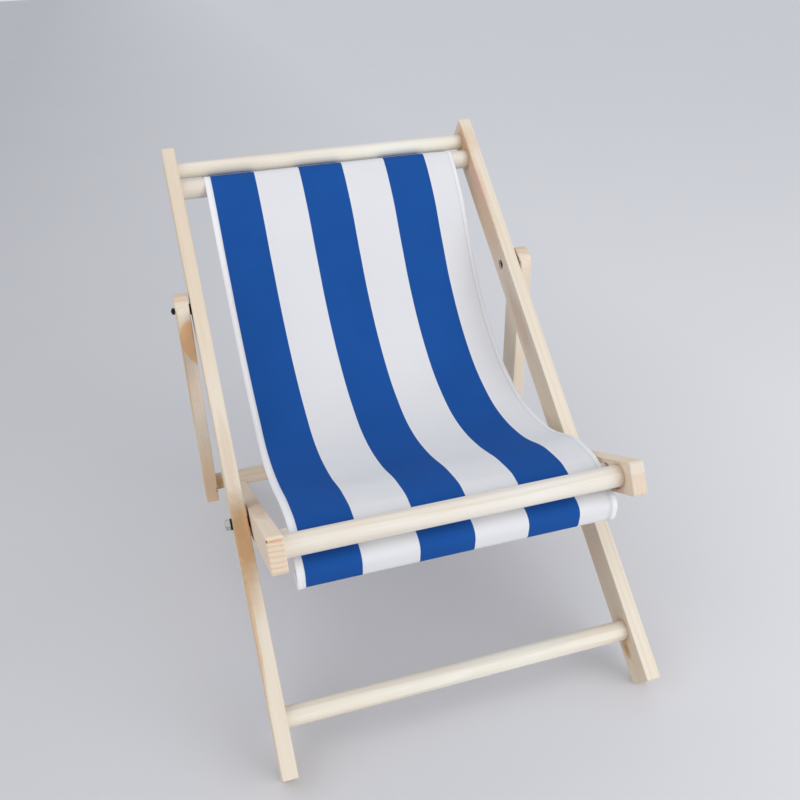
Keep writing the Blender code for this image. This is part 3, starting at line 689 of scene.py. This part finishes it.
def rail_marks():
    """Blots on the rails, in (x, along, across) from each frame's own zero: knots, tints, painted
    shade and light.
    """
    back_right = [mark((-184.5, 226, 36), (22, 60, 22), ORANGE, 0.92, 0.25, 0.30),
                  mark((-178, 240, 36), (6, 24, 10), AMBER, 0.50),
                  mark((-187, 176, 35), (12, 40, 14), ORANGE, 0.40, 0.2, 0.2, -1.2),
                  mark((-192, 140, 34), (5, 90, 9), ORANGE, 0.60, 0.5),
                  mark((-184.5, 318, 36), (6, 60, 10), ORANGE, 0.22, 0.6),
                  mark((-184.5, 560, 36), (16, 190, 20), SIDE_TAN, 0.28, 0.3, 0.4)]
    back_left = [mark((177, 35, 12), (4, 6.5, 4.6), BROWN, 0.90),
                 mark((177, 35, 12), (6, 14, 9), ORANGE, 0.75),
                 mark((177, 420, 18), (4, 60, 14), ORANGE, 0.30, 0.6),
                 # painted shade: tan on the shaded inner face of the +X back rail
                 mark((177, 575, 20), (6, 100, 30), SIDE_TAN, 0.90, 0.3, 0.3),
                 mark((177, 605, 30), (8, 55, 20), PINK, 0.60, 0.3, 0.2),
                 mark((177, 150, 10), (6, 60, 30), PINK, 0.22, 0.4, 0.3),
                 mark((177, 662, 31), (5, 42, 11), ORANGE, 0.70, 0.4, 0.3),
                 mark((184.5, 668, 36), (12, 26, 10), SIDE_TAN, 0.40, 0.3, 0.3)]
    # painted shade: an orange ring on the +X back rail's inner face round each bar that goes into
    # it
    for along, radius in ((54.1, 10), (652.5, 11), (679.5, 9)):
        back_left.append(mark((177, along, 18), (9, radius + 7, radius + 7), ORANGE, 0.75, 0.3))
    # painted shade: orange round the front bar's joint on the +X seat rail's inner face
    seat_left = [mark((159.8, -154.2, 0), (4, 15, 15), ORANGE, 0.85),
                 mark((159.8, -131, 7.5), (4, 7, 3.0), RED_BROWN, 0.85, 0.6),
                 mark((159.8, -150, -14.5), (6, 13, 6.0), PINK, 0.50, 0.6),
                 mark((159.8, -148, -12.5), (4, 8, 3.2), RED_BROWN, 0.85, 0.8),
                 mark((167.3, -177.2, -8), (14, 3, 16), END_PINK, 0.65, 0.3, 0.75),
                 # painted highlight: the upper part of the end face is made paler, as light from
                 # above falls there
                 mark((167.3, -177.2, 9.5), (12, 4, 8.0), END_HIGHLIGHT, 0.85, 0.1, 0.8)]
    seat_right = [mark((-167.3, -177.2, 10.8), (9, 4, 1.3), ORANGE, 0.85),
                  mark((-166, -177.2, 9.8), (6, 3, 1.3), PINK, 0.70),
                  mark((-174.6, -176.4, 11.6), (1.7, 2.4, 1.7), BROWN, 0.90),
                  mark((-167.3, -20, 14), (12, 80, 8), ORANGE, 0.28, 0.6)]
    # painted shadow: the slanted amber patch is the back rail's shadow on the -X prop
    prop_right = [mark((-193, 33, -18), (18, 30, 16), AMBER, 0.85, 0.12, 0.80, 0.43),
                  mark((-194, 22, -18), (2.2, 13, 6), ORANGE, 0.70),
                  mark((-209, 60, -18), (2.5, 120, 9), ORANGE, 0.45, 0.5),
                  mark((-201.7, 240, -18), (16, 100, 24), AMBER, 0.50, 0.4, 0.3),
                  mark((-201.7, 90, -18), (14, 34, 10), PINK, 0.18, 0.5),
                  mark((-195.6, 235.5, -18), (1.2, 1.5, 2), BROWN, 0.95),
                  mark((-195.2, 239.5, -18), (1.3, 1.6, 2), BROWN, 0.95)]
    for along, across, strength in ((-15.9, -8.5, 0.55), (-17.3, -5.0, 0.45), (-18.0, -1.0, 0.5)):
        prop_right.append(mark((-201.7, along, across), (13, 1.3, 1.2), PINK, strength, 0.3))
    # painted shade: brown in the gap between the prop's head and the back rail at the pivot
    prop_left = [mark((194.2, 0, -10), (4, 16, 16), BROWN, 0.75)]
    return {"back_left": back_left, "back_right": back_right, "seat_left": seat_left,
            "seat_right": seat_right, "prop_left": prop_left, "prop_right": prop_right}


def dress_rails():
    """Pine for the six rails."""
    swing = JOINTS["prop_swing"]["pos_m"]
    # frame, slope, the zero of its places, painted shade (warmth) of the side faces, pale wood,
    # ring scale
    rails = (("back", BACK_SLOPE, (FOOT_Y, 0.0), 0.75, PALE, RING_SCALE),
             ("seat", SEAT_SLOPE, (PIVOT.y, PIVOT.z), 0.6, TAN, SEAT_RING_SCALE),
             ("prop", PROP_SLOPE, (swing[1], swing[2]), 0.5, PALE, RING_SCALE))
    marks = rail_marks()
    for short, slope, origin, side_shade, pale, ring_scale in rails:
        for hand in ("left", "right"):
            key = f"{short}_{hand}"
            dress(f"{short}_rail_{hand}",
                  wood_material("pine_" + key, slope, origin, PITHS[key], pale, side_shade,
                                marks[key], ring_scale=ring_scale))


def dress_bars():
    """Pine for the dowels, bars and sticks; a mark's place is (forward, x, up) from the middle."""
    # painted shade: ORANGE darkens each bar next to the rail it goes into, and the prop crossbar's
    # -X end
    joint = (60, 14, 60)
    bars = {"lower_stretcher": (LIT_CREAM, [mark((8.5, 29, -5), (1.4, 1.3, 1.8), BROWN, 0.7)]),
            "top_cloth_bar": (CREAM, [mark((0, 180, 0), (60, 12, 60), ORANGE, 0.45, 0.5, 0.1)]),
            "top_dowel": (LIT_CREAM, [mark((0, 180, 0), joint, ORANGE, 0.50, 0.5, 0.1)]),
            "front_bar": (CREAM, [mark((0, 163, 0), joint, ORANGE, 0.55, 0.5, 0.1)]),
            "seat_cloth_bar": (CREAM, []),
            "prop_crossbar": (TAN, [mark((0, -190, 0), (20, 9, 14), ORANGE, 0.90, 0.3)]),
            "top_sleeve_stick": (CREAM, []),
            "front_sleeve_stick": (CREAM, [])}
    for number, (name, (pale, marks)) in enumerate(bars.items()):
        centre, _ = round_bar(name)
        pith = (0.020 + 0.004 * number, 0.012 - 0.006 * number)
        dress(name, wood_material("pine_" + name, 0, centre, pith, pale, 0.0, marks,
                                  across_x=True))


def dress_hardware():
    """Zinc-plated seat pivots, blackened washers and prop pivots."""
    bright = metal_material("zinc_plate", *ZINC)
    dark = metal_material("dark_plate", *BLACKENED)
    for hand in ("left", "right"):
        for stem in ("seat_pivot_bolt_", "seat_pivot_nut_"):
            dress(stem + hand, bright)
        for stem in ("seat_pivot_spacer_", "seat_pivot_washer_", "prop_pivot_bolt_",
                     "prop_pivot_spacer_", "prop_pivot_nut_"):
            dress(stem + hand, dark)


# ---------------------------------------------------------------- stage

def area_light(name, place, size, power, colour):
    """A rectangular lamp that looks at the chair."""
    data = bpy.data.lights.new(name, "AREA")
    data.shape = "RECTANGLE"
    data.size, data.size_y = size
    data.energy = power
    data.color = colour
    lamp = bpy.data.objects.new(name, data)
    lamp.location = place
    way = Vector(LIGHT_TARGET) - Vector(place)
    lamp.rotation_euler = way.to_track_quat("-Z", "Y").to_euler()
    bpy.context.scene.collection.objects.link(lamp)


def make_stage():
    """The floor, a soft grey-blue surround and two lamps."""
    bpy.ops.mesh.primitive_plane_add(size=FLOOR_SIZE, location=FLOOR_MIDDLE)
    floor = bpy.context.object
    floor.name = "floor"
    floor.data.materials.append(floor_material())
    world = bpy.data.worlds.new("soft_room")
    world.use_nodes = True
    world.node_tree.nodes["Background"].inputs["Color"].default_value = ROOM_COLOUR
    world.node_tree.nodes["Background"].inputs["Strength"].default_value = ROOM_STRENGTH
    bpy.context.scene.world = world
    for lamp in LIGHTS:
        area_light(*lamp)


def make_camera():
    """The camera, in front of the chair, a little to one side and above."""
    data = bpy.data.cameras.new("camera")
    data.lens = CAMERA_LENS
    data.sensor_width = CAMERA_SENSOR
    item = bpy.data.objects.new("camera", data)
    turn = (Matrix.Rotation(CAMERA_YAW, 4, "Z") @ Matrix.Rotation(pi / 2 - CAMERA_DOWN, 4, "X")
            @ Matrix.Rotation(CAMERA_ROLL, 4, "Z"))
    item.matrix_world = Matrix.Translation(CAMERA_AT) @ turn
    bpy.context.scene.collection.objects.link(item)
    bpy.context.scene.camera = item


make_camera()
make_stage()
dress_rails()
dress_bars()
dress_hardware()

sling = make_sling()
sling.data.materials.append(canvas_material())
stitching = make_stitching()
stitching.data.materials.append(thread_material())
for piece in (sling, stitching):
    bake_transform(piece)
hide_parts("sling_back_panel", "sling_seat_panel", "sling_top_sleeve", "sling_front_sleeve")

bpy.context.scene.view_settings.view_transform = "Standard"
